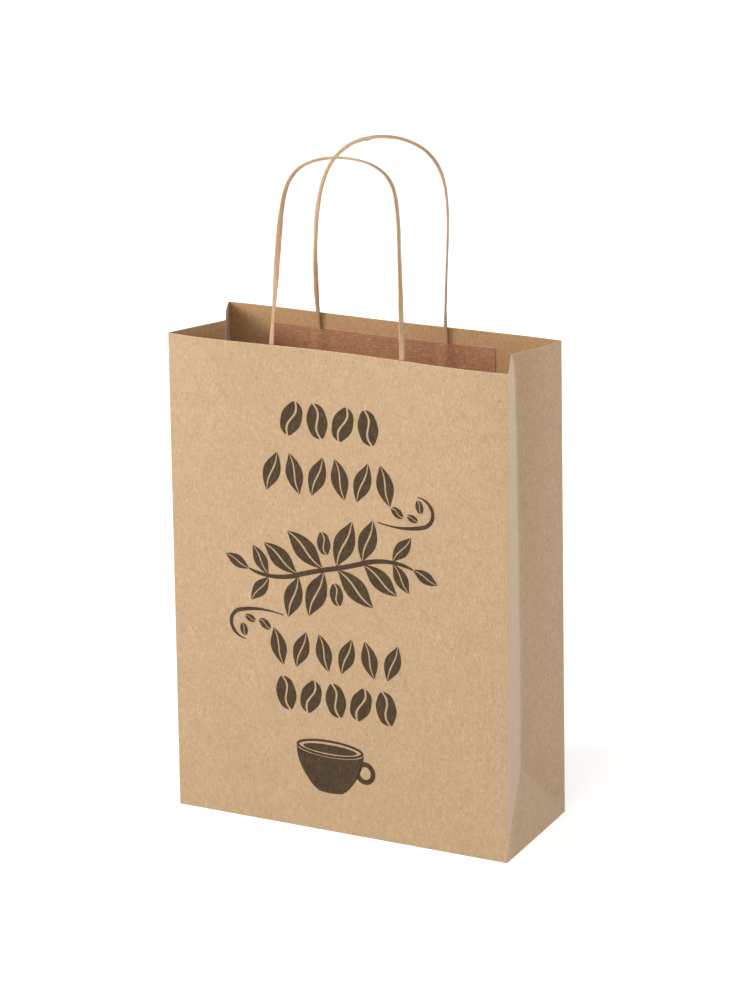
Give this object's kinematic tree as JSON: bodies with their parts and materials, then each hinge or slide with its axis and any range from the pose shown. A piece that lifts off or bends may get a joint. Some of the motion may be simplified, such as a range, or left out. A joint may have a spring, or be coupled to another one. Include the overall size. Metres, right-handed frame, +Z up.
{
  "type": "paper carrier gift bag",
  "caption": "Kraft paper gift bag with folded side gussets, a flat block base and twisted paper cord handles that swing at the rim",
  "frame": {"origin": "middle of the base, on the surface the bag stands on", "axes": "+X across the printed front to its right, -Y out of the front face, +Z up through the open mouth"},
  "size_m": [0.245, 0.095, 0.4577],
  "materials": {
    "kraft_sheet": "uncoated brown kraft",
    "patch_paper": "uncoated reddish brown kraft",
    "handle_cord": "twisted kraft paper",
    "print_ink": "flat dark brown ink, absorbed into the paper"
  },
  "bodies": {
    "root": {"front_panel": "kraft_sheet", "back_panel": "kraft_sheet", "left_gusset_front": "kraft_sheet", "left_gusset_rear": "kraft_sheet", "left_gusset_triangle": "kraft_sheet", "right_gusset_front": "kraft_sheet", "right_gusset_rear": "kraft_sheet", "right_gusset_triangle": "kraft_sheet", "bottom_front_flap": "kraft_sheet", "bottom_rear_flap": "kraft_sheet", "bottom_left_flap": "kraft_sheet", "bottom_right_flap": "kraft_sheet", "seam_lap": "kraft_sheet", "front_patch_base": "patch_paper", "front_patch_cover": "patch_paper", "back_patch_base": "patch_paper", "back_patch_cover": "patch_paper", "front_cord_left_end": "handle_cord", "front_cord_right_end": "handle_cord", "back_cord_left_end": "handle_cord", "back_cord_right_end": "handle_cord"},
    "front_handle": {"front_handle_loop": "handle_cord"},
    "back_handle": {"back_handle_loop": "handle_cord"}
  },
  "joints": [
    {"name": "front_handle_swing", "type": "hinge", "parent": "root", "child": "front_handle", "pos_m": [0.0005, -0.04001, 0.33427], "axis": [1, 0, 0], "range_deg": [-12.5, 100], "stiffness_Nm_per_rad": 0.02},
    {"name": "back_handle_swing", "type": "hinge", "parent": "root", "child": "back_handle", "pos_m": [-0.007, 0.04001, 0.33427], "axis": [-1, 0, 0], "range_deg": [-15, 97.5], "stiffness_Nm_per_rad": 0.02}
  ]
}
